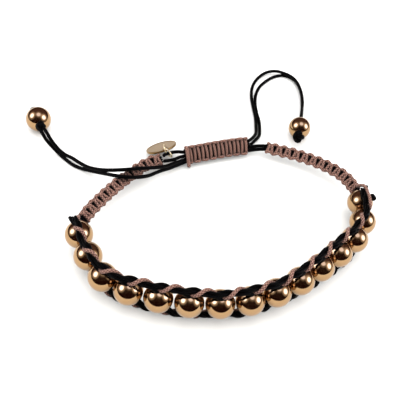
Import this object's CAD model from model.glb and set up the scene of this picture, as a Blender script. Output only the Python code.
"""A macrame bracelet: metal beads between two twisted ropes, square-knot bands, a sliding knot, two tails and a tag."""

import logging
import math
from collections.abc import Callable, Sequence
from dataclasses import dataclass, field
from enum import Enum, IntEnum

import bmesh
import bpy
import numpy as np
from mathutils import Matrix, Vector


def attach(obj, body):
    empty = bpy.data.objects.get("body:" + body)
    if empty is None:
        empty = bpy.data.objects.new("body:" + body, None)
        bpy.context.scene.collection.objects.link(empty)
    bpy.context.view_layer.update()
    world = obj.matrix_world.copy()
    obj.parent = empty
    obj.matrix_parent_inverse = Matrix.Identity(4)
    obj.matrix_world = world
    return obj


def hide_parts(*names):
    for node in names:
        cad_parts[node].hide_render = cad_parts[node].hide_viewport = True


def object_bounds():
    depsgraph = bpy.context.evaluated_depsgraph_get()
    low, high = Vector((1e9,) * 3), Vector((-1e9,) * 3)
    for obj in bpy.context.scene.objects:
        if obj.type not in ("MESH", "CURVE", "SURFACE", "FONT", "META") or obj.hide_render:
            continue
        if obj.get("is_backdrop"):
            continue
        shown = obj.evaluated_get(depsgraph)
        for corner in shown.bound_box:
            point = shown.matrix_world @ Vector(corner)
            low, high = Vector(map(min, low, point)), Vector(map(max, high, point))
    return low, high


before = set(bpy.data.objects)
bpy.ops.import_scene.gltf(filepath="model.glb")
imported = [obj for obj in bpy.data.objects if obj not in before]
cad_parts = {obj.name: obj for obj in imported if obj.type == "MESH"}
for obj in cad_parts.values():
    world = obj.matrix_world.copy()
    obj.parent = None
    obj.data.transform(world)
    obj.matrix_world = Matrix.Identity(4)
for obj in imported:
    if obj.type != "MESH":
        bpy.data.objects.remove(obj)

LOG = logging.getLogger("bracelet")
MM = 0.001
UP = (0.0, 0.0, 1.0)
# How near a point of a mesh is to a plane or an edge that it is meant to lie on, in metres
NEAR = 1e-6
Piece = bpy.types.Object
Tree = bpy.types.NodeTree
Socket = bpy.types.NodeSocket
Place = tuple[float, float, float]
Rows = tuple[tuple[float, ...], ...]
# What a shader's inputs get: a value, a socket or a node, by the input's name or number
Look = dict[int | str, object]


def linear(hex_colour: str) -> tuple[float, float, float, float]:
    """Turns an sRGB hex colour to the linear one that shaders work in.

    Args:
        hex_colour: Six hex digits after a hash sign.

    Returns:
        Red, green, blue and an alpha of 1.
    """
    values = [int(hex_colour[i : i + 2], 16) / 255 for i in (1, 3, 5)]
    red, green, blue = (v / 12.92 if v <= 0.04045 else ((v + 0.055) / 1.055) ** 2.4 for v in values)
    return red, green, blue, 1.0


def unit(vectors: np.ndarray) -> np.ndarray:
    """Scales vectors, along the last axis, to a length of 1."""
    return vectors / np.linalg.norm(vectors, axis=-1, keepdims=True)


def spline(a: np.ndarray, b: np.ndarray, c: np.ndarray, d: np.ndarray, steps: int) -> np.ndarray:
    """Draws the stretches of a smooth curve, each between the middle two of four places in a row.

    Args:
        a: The place before each stretch.
        b: Where each stretch starts.
        c: Where each stretch ends.
        d: The place after each stretch.
        steps: The points on each stretch, its end not among them.

    Returns:
        The curve's points, one row each.
    """
    a, b, c, d = (places[:, None] for places in (a, b, c, d))
    t = (np.arange(steps) / steps)[None, :, None]
    line = 0.5 * (2 * b + (c - a) * t + (2 * a - 5 * b + 4 * c - d) * t**2 + (3 * b - a - 3 * c + d) * t**3)
    return line.reshape(-1, 3)


def distances(line: np.ndarray) -> np.ndarray:
    """Measures how far along a line each of its points is, in the line's own unit."""
    return np.concatenate([[0], np.cumsum(np.linalg.norm(np.diff(line, axis=0), axis=1))])


def smooth_line(points: Sequence[Sequence[float]] | np.ndarray, spacing: float, steps: int = 8) -> np.ndarray:
    """Draws a smooth open curve through points and steps along it evenly.

    Args:
        points: The places that the curve passes, in millimetres.
        spacing: The distance between the points returned, in millimetres.
        steps: How finely the curve is worked out between two places.

    Returns:
        The curve's points, one row each.
    """
    rows = np.array(points, float)
    rows = np.vstack([2 * rows[0] - rows[1], rows, 2 * rows[-1] - rows[-2]])
    line = np.vstack([spline(rows[:-3], rows[1:-2], rows[2:-1], rows[3:], steps), rows[-2:-1]])
    along = distances(line)
    at = np.linspace(0, along[-1], max(2, round(along[-1] / spacing) + 1))
    return np.stack([np.interp(at, along, line[:, k]) for k in range(3)], axis=1)


def rings_frame(line: np.ndarray) -> tuple[np.ndarray, np.ndarray]:
    """Finds two directions square to a line that don't twist along it.

    Args:
        line: The line's points.

    Returns:
        The first and second direction at each point.
    """
    way = unit(np.gradient(line, axis=0))
    steep = abs(way[0][2]) >= 0.9
    first = np.empty_like(line)
    first[0] = unit(np.cross(way[0], (1, 0, 0) if steep else UP))
    for i in range(1, len(line)):
        first[i] = unit(first[i - 1] - way[i] * (first[i - 1] @ way[i]))
    return first, np.cross(way, first)


def aimed(place: Sequence[float], way: Sequence[float]) -> Matrix:
    """Makes the matrix that turns a shape drawn along Z to a direction and moves it, both in millimetres."""
    turn = Vector(UP).rotation_difference(Vector(way)).to_matrix().to_4x4()
    return Matrix.Translation(Vector(place) * MM) @ turn


class Sides(IntEnum):
    """The points round a cord's mesh, by how closely it is looked at."""

    INNER = 10
    KNOT = 12
    OUTER = 14
    CUT = 16


@dataclass(frozen=True)
class Braid:
    """The relief of a round braid: strands that wind both ways and pass over and under each other."""

    strands: int = 4
    lay: float = 2.6
    depth: float = 0.05
    mean_crown: float = 0.64

    def height(self, turn: np.ndarray, along: np.ndarray) -> np.ndarray:
        """Gives the height of the braid's surface.

        Args:
            turn: The place round the cord, from 0 to 1.
            along: The place along the cord, in millimetres.

        Returns:
            Millimetres to add to the cord's radius, the mean near 0.
        """
        right = self.strands * (turn + along / self.lay)
        left = self.strands * (turn - along / self.lay)
        over = (np.floor(right) + np.floor(left)) % 2 < 1
        crown = np.sin(np.pi * np.mod(np.where(over, right, left), 1.0))
        return self.depth * (crown - self.mean_crown)


@dataclass
class Cords:
    """The points, faces and UV places of a mesh that is made of cords."""

    points: list[np.ndarray] = field(default_factory=list)
    faces: list[tuple[int, ...]] = field(default_factory=list)
    places: list[tuple[float, float]] = field(default_factory=list)
    count: int = 0
    end_rounding: float = 0.4
    end_least: float = 0.06

    def add(self, line: np.ndarray, diameter: float, sides: Sides = Sides.KNOT, braid: Braid | None = None) -> None:
        """Adds a cord's surface, with rounded ends.

        Args:
            line: The cord's middle line, in millimetres.
            diameter: The cord's thickness, in millimetres.
            sides: The points round the cord.
            braid: The relief on its surface, if it is braided.
        """
        first, second = rings_frame(line)
        along = distances(line)
        turn = np.arange(sides) / sides
        radius = np.full((len(line), sides), diameter / 2)
        if braid:
            radius = radius + braid.height(turn[None, :], along[:, None])
        ends = np.minimum(along, along[-1] - along) / (self.end_rounding * diameter)
        radius = radius * np.sqrt(1 - (1 - np.clip(ends, self.end_least, 1)) ** 2)[:, None]
        angle = 2 * np.pi * turn[None, :, None]
        around = np.cos(angle) * first[:, None] + np.sin(angle) * second[:, None]
        self.skin(line[:, None] + radius[..., None] * around, along)

    def skin(self, rings: np.ndarray, along: np.ndarray) -> None:
        """Skins rings of points and closes both ends.

        Args:
            rings: The points of each ring, in millimetres.
            along: The place of each ring along the cord, which becomes its V, in millimetres.
        """
        rows, sides = rings.shape[:2]
        for i in range(rows - 1):
            for k in range(sides):
                after = (k + 1) % sides
                a, b = self.count + i * sides, self.count + (i + 1) * sides
                self.faces.append((a + k, a + after, b + after, b + k))
                near, far, u, v = along[i], along[i + 1], k / sides, (k + 1) / sides
                self.places += [(u, near), (v, near), (v, far), (u, far)]
        last = self.count + (rows - 1) * sides
        self.faces.append(tuple(self.count + k for k in reversed(range(sides))))
        self.faces.append(tuple(last + k for k in range(sides)))
        self.places += [(0.5, along[0])] * sides + [(0.5, along[-1])] * sides
        self.points.append(rings.reshape(-1, 3))
        self.count += rows * sides

    def build(self, name: str) -> Piece:
        """Makes the object, with its place in its mesh and a UV map that follows the cords.

        Args:
            name: The piece's name.

        Returns:
            The new object.
        """
        mesh = bpy.data.meshes.new(name)
        mesh.from_pydata((np.vstack(self.points) * MM).tolist(), [], self.faces)
        layer = mesh.uv_layers.new(name="along_cord")
        layer.data.foreach_set("uv", np.array(self.places, np.float32).ravel())
        mesh.polygons.foreach_set("use_smooth", [len(f) == 4 for f in self.faces])
        mesh.update()
        piece = bpy.data.objects.new(name, mesh)
        bpy.context.collection.objects.link(piece)
        return piece


def add_node(
    tree: Tree, kind: str, settings: dict[str, object] | None = None, inputs: Look | None = None
) -> bpy.types.Node:
    """Adds a shader node with its settings, values and links.

    Args:
        tree: The tree that gets the node.
        kind: The node's type name.
        settings: Properties of the node.
        inputs: A value, an output socket or a node, for its first output, by the input's name or number.

    Returns:
        The new node.
    """
    node = tree.nodes.new(kind)
    for name, value in (settings or {}).items():
        setattr(node, name, value)
    for name, value in (inputs or {}).items():
        if isinstance(value, bpy.types.Node):
            value = value.outputs[0]
        if isinstance(value, Socket):
            tree.links.new(value, node.inputs[name])
        else:
            node.inputs[name].default_value = value
    return node


@dataclass(frozen=True)
class Finish:
    """What every finish has: its name, the record's material slot, and how its surface gleams and stands out."""

    name: str
    slot: str
    roughness: float = 0.5
    gleam: float = 0.5
    relief_mm: float = 0.0
    relief_strength: float = 0.0
    braid: Braid | None = None

    def material(self) -> bpy.types.Material:
        """Gives the finish's material and makes it the first time."""
        made = bpy.data.materials.get(self.name)
        if not made:
            made = bpy.data.materials.new(self.name)
            made.use_nodes = True
            tree = made.node_tree
            tree.nodes.clear()
            place = add_node(tree, "ShaderNodeTexCoord").outputs["Object"]
            look = {"Roughness": self.roughness, "Specular IOR Level": self.gleam, **self.dress(tree, place)}
            if "Height" in look:
                relief = {"Strength": self.relief_strength, "Distance": self.relief_mm * MM}
                look["Normal"] = add_node(tree, "ShaderNodeBump", inputs={"Height": look.pop("Height"), **relief})
            shader = add_node(tree, "ShaderNodeBsdfPrincipled", inputs=look)
            add_node(tree, "ShaderNodeOutputMaterial", inputs={"Surface": shader})
        return made

    def dress(self, tree: Tree, place: Socket) -> Look:
        """Draws the finish's patterns.

        Args:
            tree: The material's node tree.
            place: The place on the piece, in its own metres.

        Returns:
            What the inputs of its principled shader get, by their names, and the height of its relief.
        """
        raise NotImplementedError

    @staticmethod
    def mottled(
        tree: Tree, place: Socket | bpy.types.Node, size: float, detail: float, colours: tuple[str, str]
    ) -> tuple[Socket, Socket]:
        """Draws clouds and mixes two colours by them.

        Args:
            tree: The material's node tree.
            place: The place that the clouds are drawn at.
            size: The clouds' size, in millimetres.
            detail: How many finer layers are on them.
            colours: The colours between the clouds and on them.

        Returns:
            The clouds, from 0 to 1, and the colour.
        """
        clouds = add_node(
            tree, "ShaderNodeTexNoise", inputs={"Vector": place, "Scale": 1 / (size * MM), "Detail": detail}
        ).outputs["Fac"]
        first, second = map(linear, colours)
        colour = add_node(tree, "ShaderNodeMix", {"data_type": "RGBA"}, {0: clouds, 6: first, 7: second})
        return clouds, colour.outputs[2]


@dataclass(frozen=True)
class PolishedMetal(Finish):
    """Plated brass, tumbled and polished: a mirror, with faint hairlines and a thin haze from handling."""

    colour: str = "#AD8E69"
    worn: str = "#A3805A"
    roughness: float = 0.07
    haze: float = 0.07
    haze_mm: float = 1.6
    haze_range: tuple[float, float] = (0.35, 0.75)
    hairline_mm: float = 0.12
    hairline_stretch: Place = (1.0, 0.12, 1.0)
    relief_mm: float = 0.0005
    relief_strength: float = 0.25

    def dress(self, tree: Tree, place: Socket) -> Look:
        """Draws the haze and the hairlines."""
        haze, colour = self.mottled(tree, place, self.haze_mm, 3.0, (self.colour, self.worn))
        low, high = self.haze_range
        rough = add_node(
            tree, "ShaderNodeMapRange",
            inputs={0: haze, 1: low, 2: high, 3: self.roughness, 4: self.roughness + self.haze},
        )
        drawn = add_node(tree, "ShaderNodeMapping", inputs={"Vector": place, "Scale": self.hairline_stretch})
        hairs = add_node(
            tree, "ShaderNodeTexNoise", inputs={"Vector": drawn, "Scale": 1 / (self.hairline_mm * MM), "Detail": 1.0}
        )
        return {"Metallic": 1.0, "Base Color": colour, "Roughness": rough, "Height": hairs.outputs["Fac"]}


@dataclass(frozen=True)
class BraidedCord(Finish):
    """Waxed polyester cord, braided from fine strands that catch the light as small diamonds between dark grooves."""

    strand: str = "#52312A"
    bright: str = "#866559"
    groove: str = "#160603"
    # Where the groove's, the strand's and the bright crown's colours stand on the braid's height
    heights: Place = (0.3, 0.75, 1.0)
    roughness: float = 0.65
    gleam: float = 0.16
    sheen: float = 0.04
    braid: Braid = Braid()
    relief_mm: float = 0.06
    relief_strength: float = 0.5
    # Single fibres are finer than a pixel, so they are drawn coarse enough to break up the strands
    fibre_mm: float = 0.09
    fibre_share: float = 0.25
    # Wax and dust gather where cords lie close together, and darken them there
    crevice: str = "#1A0603"
    crevice_mm: float = 2.4
    crevice_range: tuple[float, float] = (0.3, 0.97)

    def dress(self, tree: Tree, place: Socket) -> Look:
        """Draws the braid along the cord from the same strands as its relief."""
        along = add_node(tree, "ShaderNodeUVMap", {"uv_map": "along_cord"})
        split = add_node(tree, "ShaderNodeSeparateXYZ", inputs={0: along})
        fibres = add_node(
            tree, "ShaderNodeTexNoise", inputs={"Vector": place, "Scale": 1 / (self.fibre_mm * MM), "Detail": 2.0}
        )
        made: dict[object, object] = {"u": split.outputs[0], "v": split.outputs[1], "fibres": fibres.outputs["Fac"]}
        for name, operation, *values in (
            ("round", "MULTIPLY", "u", float(self.braid.strands)),
            ("down", "MULTIPLY", "v", self.braid.strands / self.braid.lay),
            ("right", "ADD", "round", "down"),
            ("left", "SUBTRACT", "round", "down"),
            ("right_cell", "FLOOR", "right"),
            ("left_cell", "FLOOR", "left"),
            ("cells", "ADD", "right_cell", "left_cell"),
            ("under", "PINGPONG", "cells", 1.0),
            ("apart", "SUBTRACT", "left", "right"),
            ("chosen", "MULTIPLY_ADD", "under", "apart", "right"),
            ("across", "FRACT", "chosen"),
            ("angle", "MULTIPLY", "across", math.pi),
            ("crown", "SINE", "angle"),
            ("height", "MULTIPLY_ADD", "fibres", self.fibre_share, "crown"),
        ):
            inputs = {i: made.get(value, value) for i, value in enumerate(values)}
            made[name] = add_node(tree, "ShaderNodeMath", {"operation": operation}, inputs)
        ramp = add_node(tree, "ShaderNodeValToRGB", inputs={0: made["height"]})
        low, middle, high = self.heights
        stops = ramp.color_ramp.elements
        stops[0].position, stops[0].color = low, linear(self.groove)
        stops[1].position, stops[1].color = high, linear(self.bright)
        stops.new(middle).color = linear(self.strand)
        air = add_node(tree, "ShaderNodeAmbientOcclusion", {"samples": 6}, {"Distance": self.crevice_mm * MM})
        shut, clear = self.crevice_range
        closed = add_node(tree, "ShaderNodeMapRange", inputs={0: air.outputs["AO"], 1: shut, 2: clear, 3: 1.0, 4: 0.0})
        colour = add_node(
            tree, "ShaderNodeMix", {"data_type": "RGBA", "blend_type": "MULTIPLY"},
            {0: closed, 6: ramp, 7: linear(self.crevice)},
        )
        return {"Base Color": colour.outputs[2], "Sheen Weight": self.sheen, "Height": made["crown"]}


@dataclass(frozen=True)
class WaxedCord(Finish):
    """Black cord with a thick coat of wax: nearly smooth, with a soft gleam along it and faint strands below."""

    colour: str = "#010101"
    bloom: str = "#030202"
    bloom_mm: float = 10 / 9
    roughness: float = 0.5
    gleam: float = 0.035
    strand_mm: float = 0.35
    strands_round: float = 5.0
    waves: float = 0.5
    unevenness: float = 1.5
    relief_mm: float = 0.04
    relief_strength: float = 0.35

    def dress(self, tree: Tree, place: Socket) -> Look:
        """Draws the wax's bloom and the strands below it."""
        along = add_node(tree, "ShaderNodeUVMap", {"uv_map": "along_cord"})
        scale = (self.strands_round, 1 / self.strand_mm, 1.0)
        lay = add_node(tree, "ShaderNodeMapping", inputs={"Vector": along, "Scale": scale})
        strands = add_node(
            tree, "ShaderNodeTexWave", {"bands_direction": "DIAGONAL"},
            {"Vector": lay, "Scale": self.waves, "Distortion": self.unevenness, "Detail": 1.0},
        )
        _, colour = self.mottled(tree, place, self.bloom_mm, 2.0, (self.colour, self.bloom))
        return {"Base Color": colour, "Height": strands.outputs["Fac"]}


@dataclass(frozen=True)
class SatinMetal(Finish):
    """Plated brass, brushed to a satin: a soft broad gleam with fine lines one way."""

    colour: str = "#97794B"
    shade: str = "#7C6138"
    roughness: float = 0.34
    smoother: float = 0.06
    rougher: float = 0.08
    # Brushed lines are finer than a pixel, so they are drawn as coarse as they need to show
    grain_mm: float = 0.08
    grain_stretch: Place = (0.08, 1.0, 0.5)
    relief_mm: float = 0.004
    relief_strength: float = 0.3

    def dress(self, tree: Tree, place: Socket) -> Look:
        """Draws the brushed lines."""
        drawn = add_node(tree, "ShaderNodeMapping", inputs={"Vector": place, "Scale": self.grain_stretch})
        lines, colour = self.mottled(tree, drawn, self.grain_mm, 2.0, (self.colour, self.shade))
        least, most = self.roughness - self.smoother, self.roughness + self.rougher
        rough = add_node(tree, "ShaderNodeMapRange", inputs={0: lines, 3: least, 4: most})
        return {"Metallic": 1.0, "Base Color": colour, "Roughness": rough, "Height": lines}


@dataclass(frozen=True)
class PaintedFloor(Finish):
    """Matt pale grey board with a barely visible tooth, which the studio light turns white."""

    colour: str = "#C2C2C1"
    tooth: str = "#C6C6C5"
    tooth_mm: float = 50 / 3
    roughness: float = 0.9
    gleam: float = 0.1

    def dress(self, tree: Tree, place: Socket) -> Look:
        """Draws the board's two near greys."""
        return {"Base Color": self.mottled(tree, place, self.tooth_mm, 2.0, (self.colour, self.tooth))[1]}


ROSE_GOLD = PolishedMetal("polished_rose_gold_plate", "rose_gold_bead")
BROWN_CORD = BraidedCord("braided_mauve_brown_cord", "brown_cord")
BLACK_CORD = WaxedCord("waxed_black_cord", "black_cord")
CHAMPAGNE = SatinMetal("satin_champagne_plate", "champagne_tag")
PALE_GOLD = PolishedMetal(
    "polished_pale_gold_wire", "pale_gold_wire", colour="#FBEBC4", worn="#F0D8A4", roughness=0.3
)


def dressed(piece: Piece, finish: Finish, *nodes: str) -> Piece:
    """Gives a piece its finish, its body and the CAD nodes that it stands for.

    Args:
        piece: The finished piece.
        finish: What it is made of.
        nodes: The CAD nodes that it replaces.

    Returns:
        The same piece.
    """
    piece.data.materials.clear()
    piece.data.materials.append(finish.material())
    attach(piece, "root")
    if nodes:
        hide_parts(*nodes)
    LOG.info("%s: %d faces, %s", piece.name, len(piece.data.polygons), finish.name)
    return piece


def cord_piece(name: str, finish: Finish, lines: Sequence[np.ndarray], cord: float, sides: Sides, *nodes: str) -> Piece:
    """Builds and dresses a piece that is made of cords.

    Args:
        name: The piece's name.
        finish: The cords' finish, which knows their relief.
        lines: The middle line of each cord.
        cord: The cords' thickness, in millimetres.
        sides: The points round each cord.
        nodes: The CAD nodes that the piece replaces.

    Returns:
        The piece.
    """
    cords = Cords()
    for line in lines:
        cords.add(line, cord, sides, finish.braid)
    return dressed(cords.build(name), finish, *nodes)


class Part(Enum):
    """The parts of a mesh that are selected in edit mode."""

    EDGE = "edges"
    FACE = "faces"


def select_where(piece: Piece, part: Part, chosen: Callable[[object], bool]) -> None:
    """Selects, in edit mode, the edges or faces that pass a test, and nothing else.

    Args:
        piece: The object in edit mode.
        part: Edges or faces.
        chosen: The test.
    """
    bpy.ops.mesh.select_mode(type=part.name)
    bpy.ops.mesh.select_all(action="DESELECT")
    shape = bmesh.from_edit_mesh(piece.data)
    for item in getattr(shape, part.value):
        item.select_set(chosen(item))
    bmesh.update_edit_mesh(piece.data)


def leave_edit(piece: Piece, smooth_degrees: float = 35.0) -> None:
    """Merges doubles, turns all faces outwards, leaves edit mode and shades smooth.

    Args:
        piece: The object in edit mode.
        smooth_degrees: Edges sharper than this stay crisp.
    """
    bpy.ops.mesh.select_all(action="SELECT")
    bpy.ops.mesh.remove_doubles(threshold=NEAR / 10)
    bpy.ops.mesh.normals_make_consistent(inside=False)
    bpy.ops.object.mode_set(mode="OBJECT")
    bpy.ops.object.shade_smooth_by_angle(angle=math.radians(smooth_degrees))
    piece.select_set(False)


def moved_copy(model: Piece, name: str, place: Matrix) -> Piece:
    """Copies a model with its own mesh, moved in the mesh.

    Args:
        model: The piece that was modelled once.
        name: The copy's name.
        place: Where the copy goes, in metres.

    Returns:
        The copy.
    """
    mesh = model.data.copy()
    mesh.name = name
    mesh.transform(place)
    piece = bpy.data.objects.new(name, mesh)
    bpy.context.collection.objects.link(piece)
    return piece


class Side(Enum):
    """The two ropes: over the row of beads and under it."""

    UPPER = 1
    LOWER = -1


class End(Enum):
    """The two ends of the row of beads."""

    LEFT = -1
    RIGHT = 1


@dataclass
class Loop:
    """The bracelet's closed centre line, and the way that it leans at each place. All sizes are in millimetres."""

    bead: float = 6.0
    gap: float = 0.12
    beads: int = 15
    left_join: float = 4.4
    right_join: float = 4.3
    right_core_gap: float = 5.0
    left_knot: float = 2.4
    right_knot: float = 2.3
    slide_knot: float = 2.15
    band_knots: int = 12
    slide_bars: int = 15
    route: Rows = (
        (-30.8, -12.5, 5.1), (-27.8, -17.5, 5.1), (-23.9, -22.1, 5.1), (-18.2, -24.5, 5.1), (-5.7, -25.3, 5.1),
        (6.3, -22.7, 5.1), (16, -16.2, 5.1), (24.8, -7, 5.1), (28.7, -2, 5.1), (30.8, 3.7, 5.1), (30.6, 9.6, 5.1),
        (30.1, 14.2, 4.4), (27.3, 19.5, 3.6), (20.8, 23.7, 3.0), (11.8, 26.2, 2.6), (2.8, 26.4, 2.5),
        (-11.7, 19.7, 2.4), (-18.2, 16.3, 2.4), (-21.7, 13, 2.5), (-26.2, 5.3, 3.1), (-29.4, -2.3, 4.1),
        (-31, -7.8, 4.8),
    )
    bead_lean: tuple[float, ...] = (3, 8, 7, 5, 3, 2, 8, 0, 4, -4, -8, -13, -11, -2, -2)
    band_lean: Rows = (
        (90, 32), (96, 48), (104, 53), (114, 53), (122, 40), (139, 40), (146, 55), (151, 68), (160, 68), (168, 60),
        (175, 55),
    )
    steps: int = 32
    # Half the stretch of line that a direction along it is taken from
    probe: float = 0.15

    def __post_init__(self) -> None:
        """Works out the line's points and lengths, and where the parts lie along it."""
        route = np.array(self.route)
        stretches = (np.roll(route, shift, axis=0) for shift in (1, 0, -1, -2))
        self.points = np.vstack([spline(*stretches, self.steps), route[:1]])
        self.lengths = distances(self.points)
        self.length = float(self.lengths[-1])
        self.pitch = self.bead + self.gap
        self.row_length = (self.beads - 1) * self.pitch
        leans = [(i * self.pitch, lean) for i, lean in enumerate(self.bead_lean)]
        self.leans = np.array([*leans, *self.band_lean, (self.length, self.bead_lean[0])])
        self.right_band_start = self.row_length + self.right_join
        self.right_band_end = self.right_band_start + self.band_knots * self.right_knot
        self.slide_start = self.right_band_end + self.right_core_gap
        self.slide_end = self.slide_start + self.slide_bars * self.slide_knot / 2
        self.left_band_start = self.length - self.left_join - self.band_knots * self.left_knot

    def centre(self, s: np.ndarray | float) -> np.ndarray:
        """Gives the line's place at a distance along it."""
        s = np.mod(s, self.length)
        return np.stack([np.interp(s, self.lengths, self.points[:, k]) for k in range(3)], axis=-1)

    def axes(self, s: np.ndarray | float) -> tuple[np.ndarray, np.ndarray, np.ndarray]:
        """Gives the three directions of the loop at a distance along it.

        Args:
            s: The distance, in millimetres.

        Returns:
            Along the loop, across it from its lower to its upper edge, and out of its outer face.
        """
        s = np.asarray(s, float)
        along = unit(self.centre(s + self.probe) - self.centre(s - self.probe))
        outwards = unit(np.cross(along, UP))
        upwards = np.cross(outwards, along)
        lean = np.radians(np.interp(np.mod(s, self.length), self.leans[:, 0], self.leans[:, 1]))[..., None]
        across = upwards * np.cos(lean) + outwards * np.sin(lean)
        return along, across, outwards * np.cos(lean) - upwards * np.sin(lean)

    def place(self, s: np.ndarray, across: np.ndarray, facing: np.ndarray | float) -> np.ndarray:
        """Gives places beside the line.

        Args:
            s: The distances along the line.
            across: How far each is up the band.
            facing: How far each is out of its outer face.

        Returns:
            The places, one row each.
        """
        _, up, out = self.axes(s)
        return self.centre(s) + np.asarray(across)[..., None] * up + np.asarray(facing)[..., None] * out

    def beside(self, side: Side, end: End, place: Sequence[float]) -> np.ndarray:
        """Gives a place beside an end bead: past the bead, up and out of the loop."""
        s = self.row_length if end is End.RIGHT else 0.0
        along, up, out = self.axes(s)
        return self.centre(s) + end.value * place[0] * along + side.value * place[1] * up + place[2] * out


@dataclass
class BeadRow:
    """Fifteen polished beads, drilled from edge to edge, and the thread that ties each into the ropes."""

    loop: Loop
    hole: float = 1.4
    chamfer: float = 0.1
    thread: float = 1.0
    thread_reach: float = 2.9
    thread_step: float = 0.3
    loop_thread: float = 0.8
    loop_step: float = 0.15
    # Where the threads leave each rope for the hole: along the row, up from the bead's centre, out of the loop
    loops: tuple[Rows, ...] = (
        ((-1.7, 3.9, 0.3), (-1.1, 3.6, 0.45), (-0.5, 3.25, 0.5), (0.0, 3.05, 0.4), (0.1, 2.6, 0.1), (0, 2.1, 0)),
        ((1.7, 3.9, 0.1), (1.0, 3.55, 0.2), (0.4, 3.25, 0.2), (0.0, 3.0, 0.1), (-0.1, 2.6, 0.0), (0, 2.1, 0)),
        ((-1.5, 3.9, -0.1), (-0.8, 3.6, 0.0), (0.0, 3.45, 0.05), (0.8, 3.6, 0.0), (1.5, 3.9, -0.1)),
    )

    @staticmethod
    def model(diameter: float, hole: float, chamfer: float) -> Piece:
        """Models a drilled bead at the origin with its hole along Z.

        Args:
            diameter: The bead's diameter, in millimetres.
            hole: The hole's diameter, in millimetres.
            chamfer: The width of the hole's broken rim, in millimetres.

        Returns:
            The bead, which is copied and then deleted.
        """
        radius, bore = diameter / 2 * MM, hole / 2 * MM
        rim = math.sqrt(radius**2 - bore**2)
        bpy.ops.mesh.primitive_uv_sphere_add(segments=64, ring_count=40, radius=radius)
        bead = bpy.context.object
        bpy.ops.object.mode_set(mode="EDIT")
        for way in (1, -1):
            bpy.ops.mesh.select_all(action="SELECT")
            bpy.ops.mesh.bisect(plane_co=(0, 0, way * rim), plane_no=(0, 0, way), clear_outer=True)
        select_where(bead, Part.EDGE, lambda e: e.is_boundary)
        bpy.ops.mesh.bridge_edge_loops()

        def at_mouth(edge: bmesh.types.BMEdge) -> bool:
            """Tells whether an edge lies round one mouth of the hole."""
            low, high = sorted(v.co.z for v in edge.verts)
            near = all(abs(abs(v.co.z) - rim) < NEAR and v.co.xy.length < bore + 10 * NEAR for v in edge.verts)
            return near and low * high > 0

        select_where(bead, Part.EDGE, at_mouth)
        bpy.ops.mesh.bevel(offset=chamfer * MM, segments=3, affect="EDGES")
        leave_edit(bead)
        return bead

    def build(self) -> None:
        """Builds the beads and their threads."""
        model = self.model(self.loop.bead, self.hole, self.chamfer)
        threads = Cords()
        for i in range(self.loop.beads):
            s = i * self.loop.pitch
            place, (_, up, _) = self.loop.centre(s), self.loop.axes(s)
            bead = moved_copy(model, f"rose_gold_bead_{i + 1:02d}", aimed(place, up))
            dressed(bead, ROSE_GOLD, f"bead_{i + 1:02d}")
            through = [place + up * z for z in (-self.thread_reach, -1, 1, self.thread_reach)]
            threads.add(smooth_line(through, self.thread_step), self.thread)
            for side, loop in ((side, loop) for side in Side for loop in self.loops):
                ds, rise, out = np.array(loop).T
                line = smooth_line(self.loop.place(s + ds, side.value * rise, out), self.loop_step)
                threads.add(line, self.loop_thread, Sides.INNER)
        bpy.data.objects.remove(model)
        dressed(threads.build("bead_hole_threads"), BLACK_CORD, "bead_thread")


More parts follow.
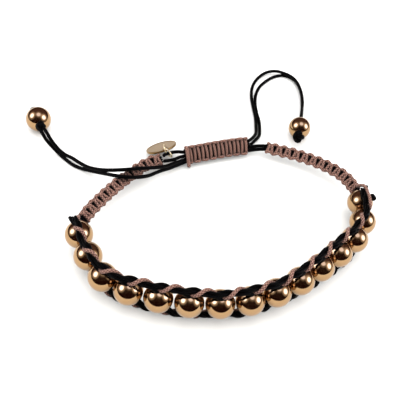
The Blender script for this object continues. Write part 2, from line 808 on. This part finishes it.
@dataclass
class Rope:
    """A rope along the beads' poles: a braided brown cord winds round three black threads."""

    loop: Loop
    side: Side
    brown: float = 0.78
    brown_reach: float = 0.6
    brown_step: float = 0.09
    black_thread: float = 0.66
    black_twist: float = 9.0
    black_spread: float = 0.36
    black_reach: float = 0.34
    black_step: float = 0.15
    black_starts: tuple[float, ...] = (0, 120, 240)
    # The rope's middle above the beads', and how much nearer it comes at each pole
    offset: float = 4.1
    dip: float = 0.22
    # The winding, in degrees: its turn at each pole, how unevenly it turns between two, and its first and last stretch
    pole_turn: float = -60
    swing: float = 17
    late: float = 104
    first_lag: float = 35
    lag_beads: float = 0.7
    last_turn: float = 30
    steps: int = 12
    left_brown: Rows = ((0.95, 3.5, -0.2), (1.95, 3.1, -0.3), (2.75, 2.5, -0.3), (3.5, 1.75, -0.2), (3.9, 0.9, 0))
    left_black: Rows = ((0.45, 4.45, 0.25), (0.8, 4.25, 0.35))
    right_brown: Rows = ((1.4, 4.0, 0.2), (2.5, 3.1, -0.25), (3.2, 2.35, -0.4), (3.65, 1.6, -0.5))
    right_black: Rows = ((0.5, 3.65, -0.6),)

    def winding(self, lead: float, reach: float, left: Rows, right: Rows) -> np.ndarray:
        """Gives the middle line of one of the rope's two strands.

        Args:
            lead: The strand's turn round the rope, in degrees.
            reach: How far it winds from the rope's own middle.
            left: Its places past the first bead.
            right: Its places past the last bead.

        Returns:
            The line's points, in millimetres.
        """
        t = np.arange(0, (self.loop.beads - 1) * self.steps + 1) / self.steps
        lag = self.first_lag * np.maximum(0, 1 - t / self.lag_beads)
        turn = self.pole_turn + 360 * t + self.swing * np.sin(np.radians(360 * t - self.late)) - lag
        turn = np.radians(np.minimum(turn, 360 * (self.loop.beads - 2) + self.last_turn) + lead)
        rise = self.offset - self.dip * np.cos(2 * np.pi * t) + reach * np.sin(turn)
        row = self.loop.place(t * self.loop.pitch, self.side.value * rise, reach * np.cos(turn))
        before = [self.loop.beside(self.side, End.LEFT, p) for p in reversed(left)]
        after = [self.loop.beside(self.side, End.RIGHT, p) for p in right]
        return np.vstack([*before, row, *after])

    def build(self) -> None:
        """Builds the brown cord and the black threads."""
        name = self.side.name.lower()
        brown = smooth_line(self.winding(0, self.brown_reach, self.left_brown, self.right_brown), self.brown_step)
        cord_piece(f"{name}_braided_cord", BROWN_CORD, [brown], self.brown, Sides.OUTER, f"{name}_brown_cord")
        line = smooth_line(self.winding(180, self.black_reach, self.left_black, self.right_black), self.black_step)
        first, second = rings_frame(line)
        twist = np.linspace(0, 2 * np.pi * distances(line)[-1] / self.black_twist, len(line))
        turns = [(start + twist)[:, None] for start in np.radians(self.black_starts)]
        threads = [line + self.black_spread * (np.cos(turn) * first + np.sin(turn) * second) for turn in turns]
        cord_piece(f"{name}_black_threads", BLACK_CORD, threads, self.black_thread, Sides.INNER, f"{name}_black_cord")


# Half a square knot, which its other half mirrors, as places of a working cord: along in knots, across in half widths
# and towards the inner face in half thicknesses. The front cord's bars cross the inner face. The back cord crosses
# behind them, comes round each edge and lies along it in one link for each knot, over the bars' ends. A band's bars
# touch in pairs, and leave a slit to the next pair.
BAND_FRONT: Rows = (
    (0.0, -1.16, 0.6), (0.14, -1.0, 0.8), (0.26, -0.5, 1.0), (0.31, 0.0, 1.05), (0.35, 0.5, 1.0),
    (0.42, 0.76, 0.75), (0.5, 0.84, 0.5),
)
BAND_BACK: Rows = (
    (0.0, 1.16, 1.0), (0.16, 1.06, 0.95), (0.28, 0.9, 0.55), (0.32, 0.95, -0.2), (0.28, 0.6, -0.9), (0.25, 0.0, -1.0),
    (0.22, -0.6, -0.9), (0.18, -0.95, -0.2), (0.24, -0.92, 0.6), (0.36, -0.84, 1.0), (0.5, -0.8, 1.1),
)
SLIDE_FRONT: Rows = (
    (0.0, -0.8, 0.1), (0.17, -0.78, 0.5), (0.23, -0.6, 0.9), (0.25, 0.0, 1.1), (0.27, 0.6, 0.9), (0.33, 0.78, 0.5),
    (0.5, 0.8, 0.1),
)
SLIDE_BACK: Rows = (
    (0.0, 1.02, 0.95), (0.24, 1.0, 0.85), (0.38, 0.94, 0.45), (0.4, 0.9, -0.3), (0.33, 0.6, -0.9), (0.25, 0.0, -1.0),
    (0.17, -0.6, -0.9), (0.1, -0.9, -0.3), (0.12, -0.94, 0.45), (0.26, -1.0, 0.85), (0.5, -1.02, 0.95),
)


@dataclass
class SquareKnots:
    """A stretch of square knots: two braided cords tied in turn round straight black cores."""

    loop: Loop
    node: str
    start: float
    knot: float
    knots: float
    width: float = 3.0
    thickness: float = 2.0
    cord: float = 0.8
    cord_step: float = 0.1
    front: Rows = BAND_FRONT
    back: Rows = BAND_BACK
    cores: tuple[float, ...] = (-0.6, 0.0, 0.6)
    core: float = 0.86
    core_reach: float = 0.5
    core_rings: int = 60

    def working_line(self, pattern: Rows) -> np.ndarray:
        """Gives the middle line of a working cord through all the knots.

        Args:
            pattern: Half a knot's places.

        Returns:
            The line's points, in millimetres.
        """
        knot = [*pattern, *((1 - x, v, w) for x, v, w in reversed(pattern[1:-1]))]
        rows = [(i + x, v, w) for i in range(math.ceil(self.knots) + 1) for x, v, w in knot]
        x, v, w = np.array([r for r in rows if r[0] <= self.knots]).T
        half_width, half_depth = (self.width - self.cord) / 2, (self.thickness - self.cord) / 2
        line = self.loop.place(self.start + x * self.knot, v * half_width, -w * half_depth)
        return smooth_line(line, self.cord_step)

    def build(self) -> None:
        """Builds the working cords and the cores inside them."""
        lines = [self.working_line(pattern) for pattern in (self.front, self.back)]
        cord_piece(f"{self.node}_knots", BROWN_CORD, lines, self.cord, Sides.KNOT, self.node)
        first, last = self.start - self.core_reach, self.start + self.knots * self.knot + self.core_reach
        s = np.linspace(first, last, self.core_rings)
        cores = [self.loop.place(s, np.full(len(s), offset), 0.0) for offset in self.cores]
        cord_piece(f"{self.node}_inner_cores", BLACK_CORD, cores, self.core, Sides.INNER)


@dataclass
class CoreCords:
    """The bare black cords between the bands and the sliding knot."""

    loop: Loop
    cord: float = 0.88
    step: float = 0.12
    part_gap: float = 0.15
    spacing: float = 0.9
    # The right cords' places across the loop, in spacings, at the band and at the sliding knot
    right: tuple[tuple[str, float, float], ...] = (("right_core_front", -0.5, -1.5), ("right_core_back", 0.5, -0.5))
    left_back: Rows = (
        (-11.9, 20, 3.2), (-12.7, 19.7, 3.2), (-13.7, 19.5, 3.3), (-14.9, 19.1, 3.3), (-16, 18.5, 3.3),
        (-16.9, 17.8, 3.3), (-17.3, 17.1, 3.2),
    )
    left_front: Rows = (
        (-11.7, 19.7, 2.3), (-12.6, 19.1, 2.3), (-13.5, 18.5, 2.3), (-14.5, 17.7, 2.2), (-15.6, 17.1, 2.2),
        (-16.5, 16.6, 2.3), (-17.1, 16.3, 2.3),
    )

    def build(self) -> None:
        """Builds the four short cords."""
        share = np.linspace(0, 1, 8)
        s = self.loop.right_band_end + self.part_gap + share * (self.loop.right_core_gap - 2 * self.part_gap)
        lines = {"left_core_back": self.left_back, "left_core_front": self.left_front}
        for node, first, last in self.right:
            lines[node] = self.loop.place(s, self.spacing * (first + (last - first) * share), 0.0)
        for node, line in lines.items():
            cord_piece(f"{node}_cord", BLACK_CORD, [smooth_line(line, self.step)], self.cord, Sides.OUTER, node)


@dataclass
class TailCord:
    """One free cord of a tail, limp waxed cord that lies where it was dropped."""

    node: str
    route: Rows
    cord: float = 0.9
    step: float = 0.25

    def build(self) -> None:
        """Builds the cord along its route and declares its length."""
        line = smooth_line(self.route, self.step)
        piece = cord_piece(f"{self.node}_cord", BLACK_CORD, [line], self.cord, Sides.OUTER, self.node)


LEFT_BACK: Rows = (
    (-11.5, 19.1, 1.7), (-13.3, 17.1, 2.2), (-14.5, 15.8, 2.6), (-15.8, 14.1, 3.1), (-17.2, 12.6, 3.8),
    (-19.5, 11, 4.6), (-22, 9.8, 5.0), (-24.7, 8.8, 5.1), (-27.5, 8.4, 4.7), (-30.1, 8.7, 3.9), (-32.3, 9.5, 3.0),
    (-34.6, 10.7, 2.1), (-37, 12.4, 1.4), (-39.3, 13.9, 1.2), (-41.2, 14.6, 1.3), (-42.8, 15.4, 1.8),
    (-44.2, 16.2, 2.7), (-45.5, 17.1, 3.8), (-46.6, 18.2, 4.6), (-47.6, 19.3, 4.6),
)
LEFT_FRONT: Rows = (
    (-11.5, 19.1, 0.8), (-13.5, 16.9, 1.2), (-15.2, 15, 1.6), (-16.7, 13.3, 2.2), (-18.1, 11.4, 2.9),
    (-19.6, 9.1, 3.8), (-21.5, 7.4, 4.6), (-23.8, 6.5, 5.0), (-26.5, 6.6, 4.7), (-29.2, 7.8, 3.6),
    (-31.8, 9.5, 2.0), (-34.3, 10.8, 0.9), (-36.8, 11.6, 0.5), (-38.9, 12.5, 0.4), (-40.9, 13.9, 0.4),
    (-42.7, 15.1, 0.7), (-44.7, 16.2, 1.7), (-46.3, 17.1, 2.8), (-47.4, 17.9, 3.9), (-48.4, 18.8, 4.6),
)
RIGHT_OUTER: Rows = (
    (3.2, 28, 2.6), (4.5, 30.2, 2.2), (5.4, 33.3, 1.4), (5.4, 36.7, 0.9), (5.1, 40.9, 0.7), (4.3, 45, 0.8),
    (3.6, 49.7, 0.6), (3.5, 54.3, 0.4), (4.2, 58, 0.4), (5.6, 61.1, 0.5), (7.6, 63.3, 0.8), (10, 64.1, 1.1),
    (12.4, 63.5, 1.3), (14.9, 62.2, 1.3), (16.7, 59.6, 1.3), (17.8, 55.6, 1.3), (18.2, 50.7, 1.4),
    (17.9, 46.3, 1.9), (17.5, 42.5, 2.7), (17.2, 39.4, 3.1),
)
RIGHT_INNER: Rows = (
    (4.2, 28.1, 1.7), (5.4, 30.6, 1.3), (6.4, 33.2, 0.9), (6.5, 36.4, 0.5), (6.2, 39.8, 0.4), (5.4, 43.4, 0.4),
    (4.8, 47.4, 0.4), (4.8, 51.7, 0.4), (5.7, 55.8, 0.4), (7.4, 59, 0.4), (9.3, 61.5, 0.4), (11.7, 63.2, 0.4),
    (14.1, 63.3, 0.4), (16.1, 61.9, 0.4), (17.5, 59, 0.4), (18.2, 55, 0.4), (18.3, 50.6, 0.5), (18.1, 46.4, 0.9),
    (17.7, 42.5, 1.7), (17.2, 39.3, 2.2),
)


@dataclass
class Tip:
    """The end of a tail: a drilled bead held by overhand knots.

    The tail's way is given by its turn in plan and its rise, in degrees. Each knot has its node's name, the side of
    the bead that it sits on along that way, its length and its thickness.
    """

    name: str
    at: Place
    turn: float
    rise: float
    bead: float
    knots: tuple[tuple[str, int, float, float], ...]
    hole: float = 2.0
    chamfer: float = 0.12
    knot_cord: float = 1.15
    knot_gap: float = 0.1
    knot_rings: int = 90
    # How far the knot's closed curve runs on past its start, in half turns, so that its ends are buried
    overlap: float = 0.04

    def overhand(self, length: float, thickness: float) -> np.ndarray:
        """Draws a tight overhand knot along Z from the origin.

        Args:
            length: The knot's length, in millimetres.
            thickness: Its thickness, in millimetres.

        Returns:
            The middle line of its cord.
        """
        t = np.linspace(0, (2 + self.overlap) * np.pi, self.knot_rings)
        arm = (thickness - self.knot_cord) / 6 * (2 + np.cos(3 * t))
        height = length / 2 + (length - self.knot_cord) / 2 * np.sin(3 * t)
        return np.stack([arm * np.cos(2 * t), arm * np.sin(2 * t), height], axis=1)

    def build(self) -> None:
        """Builds the bead and the knots beside it."""
        turn, rise = math.radians(self.turn), math.radians(self.rise)
        way = np.array([math.cos(turn) * math.cos(rise), math.sin(turn) * math.cos(rise), math.sin(rise)])
        model = BeadRow.model(self.bead, self.hole, self.chamfer)
        piece = moved_copy(model, f"{self.name}_rose_gold_bead", aimed(self.at, way))
        bpy.data.objects.remove(model)
        dressed(piece, ROSE_GOLD, f"{self.name}_bead")
        for node, side, length, thickness in self.knots:
            cords = Cords()
            cords.add(self.overhand(length, thickness), self.knot_cord, Sides.OUTER)
            knot = cords.build(f"{node}_overhand")
            start = np.array(self.at) + side * (self.bead / 2 + self.knot_gap) * way
            knot.data.transform(aimed(start, side * way))
            dressed(knot, BLACK_CORD, node)


@dataclass
class CutEnds:
    """The short ends of cord that stick out: a black one at the last bead, and a brown one under the sliding knot."""

    loop: Loop
    black: float = 1.3
    black_length: float = 1.75
    black_rings: int = 16
    black_place: Place = (-1.1, 3.8, 1.3)
    black_way: Place = (-0.6, -0.5, 0.6)
    brown: float = 0.95
    brown_step: float = 0.1
    # The brown cord's last bar, down the sliding knot's left end: across the knot and towards its inner face
    brown_bar: Rows = ((2.0, 0.2), (1.7, 1.1), (0.8, 1.35), (-0.4, 1.35), (-1.4, 1.15))
    brown_past: float = 0.35
    brown_at: Place = (-10.7, 18.3, 0.8)
    brown_way: Place = (0.1, -1, -0.15)
    brown_length: float = 1.1

    def build(self) -> None:
        """Builds both ends, each sealed round by a flame."""
        near = self.loop.beside(Side.UPPER, End.RIGHT, self.black_place)
        far = self.loop.beside(Side.UPPER, End.RIGHT, tuple(np.add(self.black_place, self.black_way)))
        line = near + np.linspace(0, 1, self.black_rings)[:, None] * self.black_length * unit(far - near)
        cord_piece("last_bead_thread_end", BLACK_CORD, [line], self.black, Sides.CUT, "right_thread_end")
        across, inwards = np.array(self.brown_bar).T
        bar = self.loop.place(np.full(len(across), self.loop.slide_end + self.brown_past), across, -inwards)
        end = np.array(self.brown_at) + self.brown_length * unit(np.array(self.brown_way))
        line = smooth_line([*bar, end], self.brown_step)
        cord_piece("braided_cord_cut_end", BROWN_CORD, [line], self.brown, Sides.OUTER, "brown_cord_end")


@dataclass
class Tag:
    """A blank round tag, hung by a small ring from the jump ring round the core cord."""

    at: Place = (-18.3, 21, 2.6)
    normal: Place = (-0.38, 0.35, 0.86)
    hole_way: Place = (0.45, -0.74, 0.5)
    diameter: float = 7.8
    thickness: float = 0.5
    hole: float = 1.4
    hole_offset: float = 2.9
    rim: float = 0.45
    rim_step: float = 0.05
    rim_slope: float = 0.08
    edge_round: float = 0.09
    drill: float = 3.0
    smooth_degrees: float = 30
    wire: float = 0.32
    ring_bend: float = 354
    # Each ring's node, centre and bore, its outer diameter and the turn of the gap between its wire's ends
    rings: tuple[tuple[str, Place, Place, float, float], ...] = (
        ("tag_ring", (-17.1, 18.25, 4.75), (-0.92, -0.23, -0.31), 2.25, 200),
        ("jump_ring", (-16.3, 17.95, 4.0), (0.59, 0.73, 0.34), 3.15, 20),
    )

    def plate(self) -> None:
        """Models the tag as a struck blank with a low border and a drilled hole."""
        face = Vector(self.normal).normalized()
        way = Vector(self.hole_way)
        way = (way - way.dot(face) * face).normalized()
        radius = self.diameter / 2 * MM
        bpy.ops.mesh.primitive_cylinder_add(vertices=96, radius=radius, depth=self.thickness * MM)
        plate = bpy.context.object
        bpy.ops.object.mode_set(mode="EDIT")
        select_where(plate, Part.FACE, lambda f: abs(f.normal.z) > 0.9)
        bpy.ops.mesh.inset(thickness=self.rim * MM, use_individual=True)
        bpy.ops.mesh.inset(thickness=self.rim_slope * MM, depth=-self.rim_step * MM, use_individual=True)

        def outermost(edge: bmesh.types.BMEdge) -> bool:
            """Tells whether an edge lies round the outside of either face."""
            low, high = sorted(v.co.z for v in edge.verts)
            return high - low < NEAR and all(v.co.xy.length > radius - 10 * NEAR for v in edge.verts)

        select_where(plate, Part.EDGE, outermost)
        bpy.ops.mesh.bevel(offset=self.edge_round * MM, segments=3, affect="EDGES")
        leave_edit(plate, self.smooth_degrees)
        bpy.ops.mesh.primitive_cylinder_add(
            vertices=48, radius=self.hole / 2 * MM, depth=self.drill * MM, location=(self.hole_offset * MM, 0, 0)
        )
        drill = bpy.context.object
        bpy.context.view_layer.objects.active = plate
        cut = plate.modifiers.new("hole", "BOOLEAN")
        cut.operation, cut.object, cut.solver = "DIFFERENCE", drill, "EXACT"
        plate.select_set(True)
        bpy.ops.object.modifier_apply(modifier="hole")
        plate.select_set(False)
        bpy.data.objects.remove(drill)
        axes = Matrix((way, face.cross(way), face)).transposed().to_4x4()
        plate.data.transform(Matrix.Translation(Vector(self.at) * MM) @ axes)
        plate.name = plate.data.name = "blank_champagne_tag"
        dressed(plate, CHAMPAGNE, "tag")

    def ring(self, node: str, at: Sequence[float], way: Sequence[float], diameter: float, gap_turn: float) -> None:
        """Bends a ring of wire nearly closed.

        Args:
            node: The CAD node that it stands for.
            at: The ring's centre, in millimetres.
            way: The way that its bore points.
            diameter: Its outer diameter, in millimetres.
            gap_turn: Where the wire's ends meet, in degrees round the bore.
        """
        bpy.ops.mesh.primitive_circle_add(
            vertices=16, radius=self.wire / 2 * MM, location=((diameter - self.wire) / 2 * MM, 0, 0),
            rotation=(math.pi / 2, 0, 0),
        )
        ring = bpy.context.object
        bpy.ops.object.transform_apply(location=True, rotation=True, scale=True)
        bpy.ops.object.mode_set(mode="EDIT")
        bpy.ops.mesh.select_all(action="SELECT")
        bpy.ops.mesh.spin(steps=64, angle=math.radians(self.ring_bend), center=(0, 0, 0), axis=UP)
        bpy.ops.mesh.select_all(action="SELECT")
        bpy.ops.mesh.fill_holes(sides=0)
        leave_edit(ring)
        ring.data.transform(aimed(at, way) @ Matrix.Rotation(math.radians(gap_turn), 4, "Z"))
        ring.name = ring.data.name = f"pale_gold_{node}"
        dressed(ring, PALE_GOLD, node)

    def build(self) -> None:
        """Builds the tag and its two rings."""
        self.plate()
        for row in self.rings:
            self.ring(*row)


@dataclass(frozen=True)
class Softbox:
    """A square light that faces the bracelet, and the share of a panel that polished metal mirrors in its place."""

    name: str
    way: Place
    side: float
    watts: float
    mirrored: float
    far: float = 0.9
    colour: str = "#FFF8EC"

    def hang(self) -> None:
        """Hangs the light where the metal doesn't mirror it."""
        lamp = bpy.data.lights.new(self.name, "AREA")
        lamp.size, lamp.energy = self.side, self.watts
        lamp.color = linear(self.colour)[:3]
        box = bpy.data.objects.new(self.name, lamp)
        place = Vector(self.way).normalized() * self.far
        box.matrix_world = Matrix.Translation(place) @ place.to_track_quat("Z", "Y").to_matrix().to_4x4()
        box.visible_camera = False
        box.visible_glossy = False
        bpy.context.collection.objects.link(box)


@dataclass
class Studio:
    """A white board under soft light, dark in front so that the beads' middles go dark, and the camera.

    A range is two cosines of the angle to a direction: where a shade or light starts and where it is full.
    """

    camera_at: Place = (-6.7, -91.38, 104.16)
    right: Place = (0.9891, 0.1070, 0.1014)
    down: Place = (0.1474, -0.7179, -0.6804)
    lens: float = 54.0
    sensor: float = 36.0
    nearest: float = 0.001
    furthest: float = 20.0
    horizon: float = 1.1
    zenith: float = 3.6
    board: float = 6.0
    board_front: float = -0.055
    board_drop: float = 0.00002
    dark: str = "#2A0E09"
    glow: str = "#644A48"
    dark_way: Place = (0.0, -0.996, 0.087)
    dark_range: tuple[float, float] = (0.52, 0.30)
    glow_range: tuple[float, float] = (-0.05, 0.5)
    # A mirrored panel's soft edge and bright middle: their ranges and their light
    panel: tuple[tuple[tuple[float, float], Place], ...] = (
        ((0.80, 0.97), (0.9, 0.88, 0.85)), ((0.935, 0.98), (4.0, 4.6, 7.0)),
    )
    softboxes: tuple[Softbox, ...] = (
        Softbox("left_softbox", (-0.754, -0.216, 0.621), side=0.5, watts=1.5, mirrored=1.0),
        Softbox("right_softbox", (0.852, -0.064, 0.52), side=0.5, watts=1.5, mirrored=1.0),
        Softbox("overhead_softbox", (0.128, -0.105, 0.986), side=0.9, watts=2.0, mirrored=0.4),
    )

    def camera(self) -> None:
        """Places the camera at the photograph's viewing angle."""
        lens = bpy.data.cameras.new("camera")
        lens.lens, lens.sensor_width = self.lens, self.sensor
        lens.clip_start, lens.clip_end = self.nearest, self.furthest
        camera = bpy.data.objects.new("camera", lens)
        right = Vector(self.right).normalized()
        back = right.cross(-Vector(self.down)).normalized()
        axes = Matrix((right, back.cross(right), back)).transposed().to_4x4()
        camera.matrix_world = Matrix.Translation(Vector(self.camera_at) * MM) @ axes
        bpy.context.collection.objects.link(camera)
        bpy.context.scene.camera = camera

    def floor(self) -> None:
        """Lays the white board."""
        middle = self.board / 2 + self.board_front
        bpy.ops.mesh.primitive_plane_add(size=self.board, location=(0, middle, -self.board_drop))
        board = bpy.context.object
        bpy.ops.object.transform_apply(location=True, rotation=True, scale=True)
        board.name = "pale_board"
        board.data.materials.append(PaintedFloor("matt_pale_board", "").material())
        board.select_set(False)
        board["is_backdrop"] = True

    def world(self) -> None:
        """Lights all round, and gives polished metal a room of its own: dark in front and paler behind."""
        world = bpy.data.worlds.new("studio")
        bpy.context.scene.world = world
        world.use_nodes = True
        tree = world.node_tree
        tree.nodes.clear()
        way = add_node(tree, "ShaderNodeTexCoord")

        def towards(direction: Place) -> Socket:
            """Gives the cosine of the angle to a direction."""
            dot = add_node(tree, "ShaderNodeVectorMath", {"operation": "DOT_PRODUCT"}, {0: way, 1: direction})
            return dot.outputs["Value"]

        def share(direction: Place, edges: tuple[float, float]) -> bpy.types.Node:
            """Rises smoothly from 0 to 1 over a range towards a direction."""
            values = {0: towards(direction), 1: edges[0], 2: edges[1]}
            return add_node(tree, "ShaderNodeMapRange", {"interpolation_type": "SMOOTHSTEP"}, values)

        lit = add_node(
            tree, "ShaderNodeMath", {"operation": "MULTIPLY"},
            {0: share(self.dark_way, self.dark_range), 1: share(UP, self.glow_range)},
        )
        room = add_node(
            tree, "ShaderNodeMix", {"data_type": "RGBA"}, {0: lit, 6: linear(self.dark), 7: linear(self.glow)}
        ).outputs[2]
        for box in self.softboxes:
            for edges, colour in self.panel:
                light = tuple(box.mirrored * c for c in colour)
                room = add_node(
                    tree, "ShaderNodeVectorMath", {"operation": "MULTIPLY_ADD"},
                    {0: share(box.way, edges), 1: light, 2: room},
                )
        strength = add_node(tree, "ShaderNodeMapRange", inputs={0: towards(UP), 3: self.horizon, 4: self.zenith})
        around = add_node(tree, "ShaderNodeBackground", inputs={"Color": (1.0, 1.0, 1.0, 1.0), "Strength": strength})
        mirrored = add_node(tree, "ShaderNodeBackground", inputs={"Color": room, "Strength": 1.0})
        glossy = add_node(tree, "ShaderNodeLightPath").outputs["Is Glossy Ray"]
        both = add_node(tree, "ShaderNodeMixShader", inputs={0: glossy, 1: around, 2: mirrored})
        add_node(tree, "ShaderNodeOutputWorld", inputs={"Surface": both})

    def build(self) -> None:
        """Sets up the camera, the board, the world and the lights."""
        bpy.context.scene.view_settings.view_transform = "Standard"
        self.camera()
        self.floor()
        self.world()
        for box in self.softboxes:
            box.hang()


def main(cad_box: object) -> None:
    """Builds every sub-assembly in order.
    """
    logging.basicConfig(level=logging.INFO, format="%(name)s: %(message)s")
    bpy.ops.object.select_all(action="DESELECT")
    loop = Loop()
    Studio().build()
    for node, route in (
        ("left_tail_back", LEFT_BACK), ("left_tail_front", LEFT_FRONT), ("right_tail_outer", RIGHT_OUTER),
        ("right_tail_inner", RIGHT_INNER),
    ):
        TailCord(node, route).build()
    BeadRow(loop).build()
    for side in Side:
        Rope(loop, side).build()
    SquareKnots(loop, "left_band", loop.left_band_start, loop.left_knot, loop.band_knots).build()
    SquareKnots(loop, "right_band", loop.right_band_start, loop.right_knot, loop.band_knots).build()
    SquareKnots(
        loop, "sliding_knot", loop.slide_start, loop.slide_knot, loop.slide_bars / 2, width=4.6, thickness=2.7,
        cord=0.76, front=SLIDE_FRONT, back=SLIDE_BACK, cores=(-1.25, -0.42, 0.42, 1.25), core=0.84, core_reach=0.9,
    ).build()
    CoreCords(loop).build()
    Tip(
        "left_tip", at=(-50.4, 24.1, 3.15), turn=-65, rise=15, bead=6.3,
        knots=(("left_near_knot", 1, 2.2, 2.7), ("left_end_knot", -1, 1.5, 4.0)),
    ).build()
    Tip(
        "right_tip", at=(16.9, 36.4, 2.95), turn=-96, rise=6, bead=5.9, knots=(("right_end_knot", 1, 2.6, 3.4),)
    ).build()
    CutEnds(loop).build()
    Tag().build()


if __name__ == "__main__":
    main(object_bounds())
